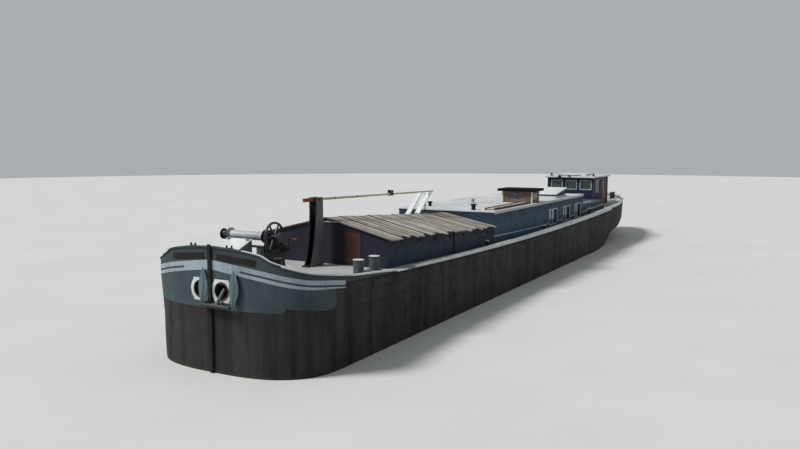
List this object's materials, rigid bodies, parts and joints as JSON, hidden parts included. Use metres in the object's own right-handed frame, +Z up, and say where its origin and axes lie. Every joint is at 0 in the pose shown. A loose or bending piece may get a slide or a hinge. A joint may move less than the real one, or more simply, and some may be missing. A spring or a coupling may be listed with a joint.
{
  "type": "river barge",
  "caption": "Motor river barge afloat light, with a bluff bow, lowered mast, hold under boards, raised cabin and wheelhouse.",
  "frame": {"origin": "under the middle of the flat bottom, at the centre of the whole length and breadth", "axes": "+X to the bow, +Y to port, +Z up"},
  "size_m": [36.755, 5.05, 4.53],
  "materials": {
    "tar": "weathered black paint, streaked",
    "grey": "grey-green and blue-grey paint",
    "white": "white gloss paint, dirty",
    "navy": "navy and blue gloss paint",
    "roof": "light grey deck paint, dusty",
    "iron": "black paint, worn",
    "boards": "weathered grey boards",
    "varnish": "varnished reddish-brown wood",
    "spar": "pale oiled spar",
    "glass": "clear, slightly green",
    "bronze": "cast bronze, dull"
  },
  "bodies": {
    "hull": {"hull": "tar", "bow_bulwark": "grey", "anchor": "grey", "tabernacle": "grey", "bow_cap_rail": "white", "stern_bulwark": "white", "stern_cap_rail": "white", "toe_rail_port": "white", "toe_rail_starboard": "white", "skylight_frame": "white", "mast_crutch": "white", "hold_coaming_port": "navy", "hold_coaming_starboard": "navy", "hold_gable": "navy", "cabin_wall_port": "navy", "cabin_wall_starboard": "navy", "cabin_front_wall": "navy", "cabin_aft_wall": "navy", "engine_casing": "navy", "wheelhouse_front": "navy", "wheelhouse_back": "navy", "wheelhouse_port": "navy", "wheelhouse_starboard": "navy", "forepeak_hood": "roof", "cabin_roof": "roof", "wheelhouse_roof": "roof", "stem_bar": "iron", "windlass_frame": "iron", "tow_bollard_port": "iron", "tow_bollard_starboard": "iron", "bow_bollard_port": "iron", "bow_bollard_starboard": "iron", "quarter_bollard_port": "iron", "quarter_bollard_starboard": "iron", "stern_bollard_port": "iron", "stern_bollard_starboard": "iron", "deckhouse_roof": "iron", "hatch_boards_port": "boards", "hatch_boards_starboard": "boards", "gangplank": "boards", "deckhouse_walls": "varnish", "helm_pedestal": "varnish", "cabin_glass_port": "glass", "cabin_glass_starboard": "glass", "wheelhouse_front_glass": "glass", "wheelhouse_back_glass": "glass"},
    "mast": {"mast": "spar"},
    "rudder": {"rudder": "tar"},
    "propeller": {"propeller": "bronze"},
    "steering_wheel": {"steering_wheel": "varnish"},
    "windlass_drum": {"windlass_drum": "iron"},
    "windlass_pinion": {"windlass_pinion": "iron"},
    "forepeak_lid": {"forepeak_lid": "white"},
    "hold_door": {"hold_door": "varnish"},
    "skylight_lid": {"skylight_lid": "white"},
    "door_port": {"door_port": "varnish"},
    "door_starboard": {"door_starboard": "varnish"}
  },
  "joints": [
    {"name": "mast_hinge", "type": "hinge", "parent": "hull", "child": "mast", "pos_m": [13.9475, 0, 4.47], "axis": [0, 1, 0], "range_deg": [0, 88]},
    {"name": "rudder_stock", "type": "hinge", "parent": "hull", "child": "rudder", "pos_m": [-16.8025, 0, 0.116], "axis": [0, 0, 1], "range_deg": [-38, 38]},
    {"name": "propeller_shaft", "type": "hinge", "parent": "hull", "child": "propeller", "pos_m": [-15.9525, 0, 0.58], "axis": [1, 0, 0], "continuous": true},
    {"name": "steering_wheel_axle", "type": "hinge", "parent": "hull", "child": "steering_wheel", "pos_m": [-11.4085, 0, 3.04], "axis": [1, 0, 0], "range_deg": [-380, 380]},
    {"name": "windlass_shaft", "type": "hinge", "parent": "hull", "child": "windlass_drum", "pos_m": [16.4175, 0, 3.69], "axis": [0, 1, 0], "continuous": true},
    {"name": "windlass_pinion_shaft", "type": "hinge", "parent": "hull", "child": "windlass_pinion", "pos_m": [16.0275, 0, 3.355], "axis": [0, 1, 0], "continuous": true},
    {"name": "forepeak_lid_hinge", "type": "hinge", "parent": "hull", "child": "forepeak_lid", "pos_m": [16.7325, -0.35, 3.64975], "axis": [0, -1, 0], "range_deg": [0, 100]},
    {"name": "hold_door_hinge", "type": "hinge", "parent": "hull", "child": "hold_door", "pos_m": [13.4515, 1.144, 3.1], "axis": [0, 0, 1], "range_deg": [0, 120]},
    {"name": "skylight_lid_hinge", "type": "hinge", "parent": "hull", "child": "skylight_lid", "pos_m": [-4.1425, 1.08, 4.0049], "axis": [0, -1, 0], "range_deg": [0, 60]},
    {"name": "door_port_hinge", "type": "hinge", "parent": "hull", "child": "door_port", "pos_m": [-12.6085, 1.324, 3.385], "axis": [0, 0, -1], "range_deg": [0, 110]},
    {"name": "door_starboard_hinge", "type": "hinge", "parent": "hull", "child": "door_starboard", "pos_m": [-12.6085, -1.324, 3.385], "axis": [0, 0, 1], "range_deg": [0, 110]}
  ],
  "couplings": [
    {"joint": "steering_wheel_axle", "follows": "rudder_stock", "ratio": 10},
    {"joint": "windlass_pinion_shaft", "follows": "windlass_shaft", "ratio": -3.3478}
  ]
}
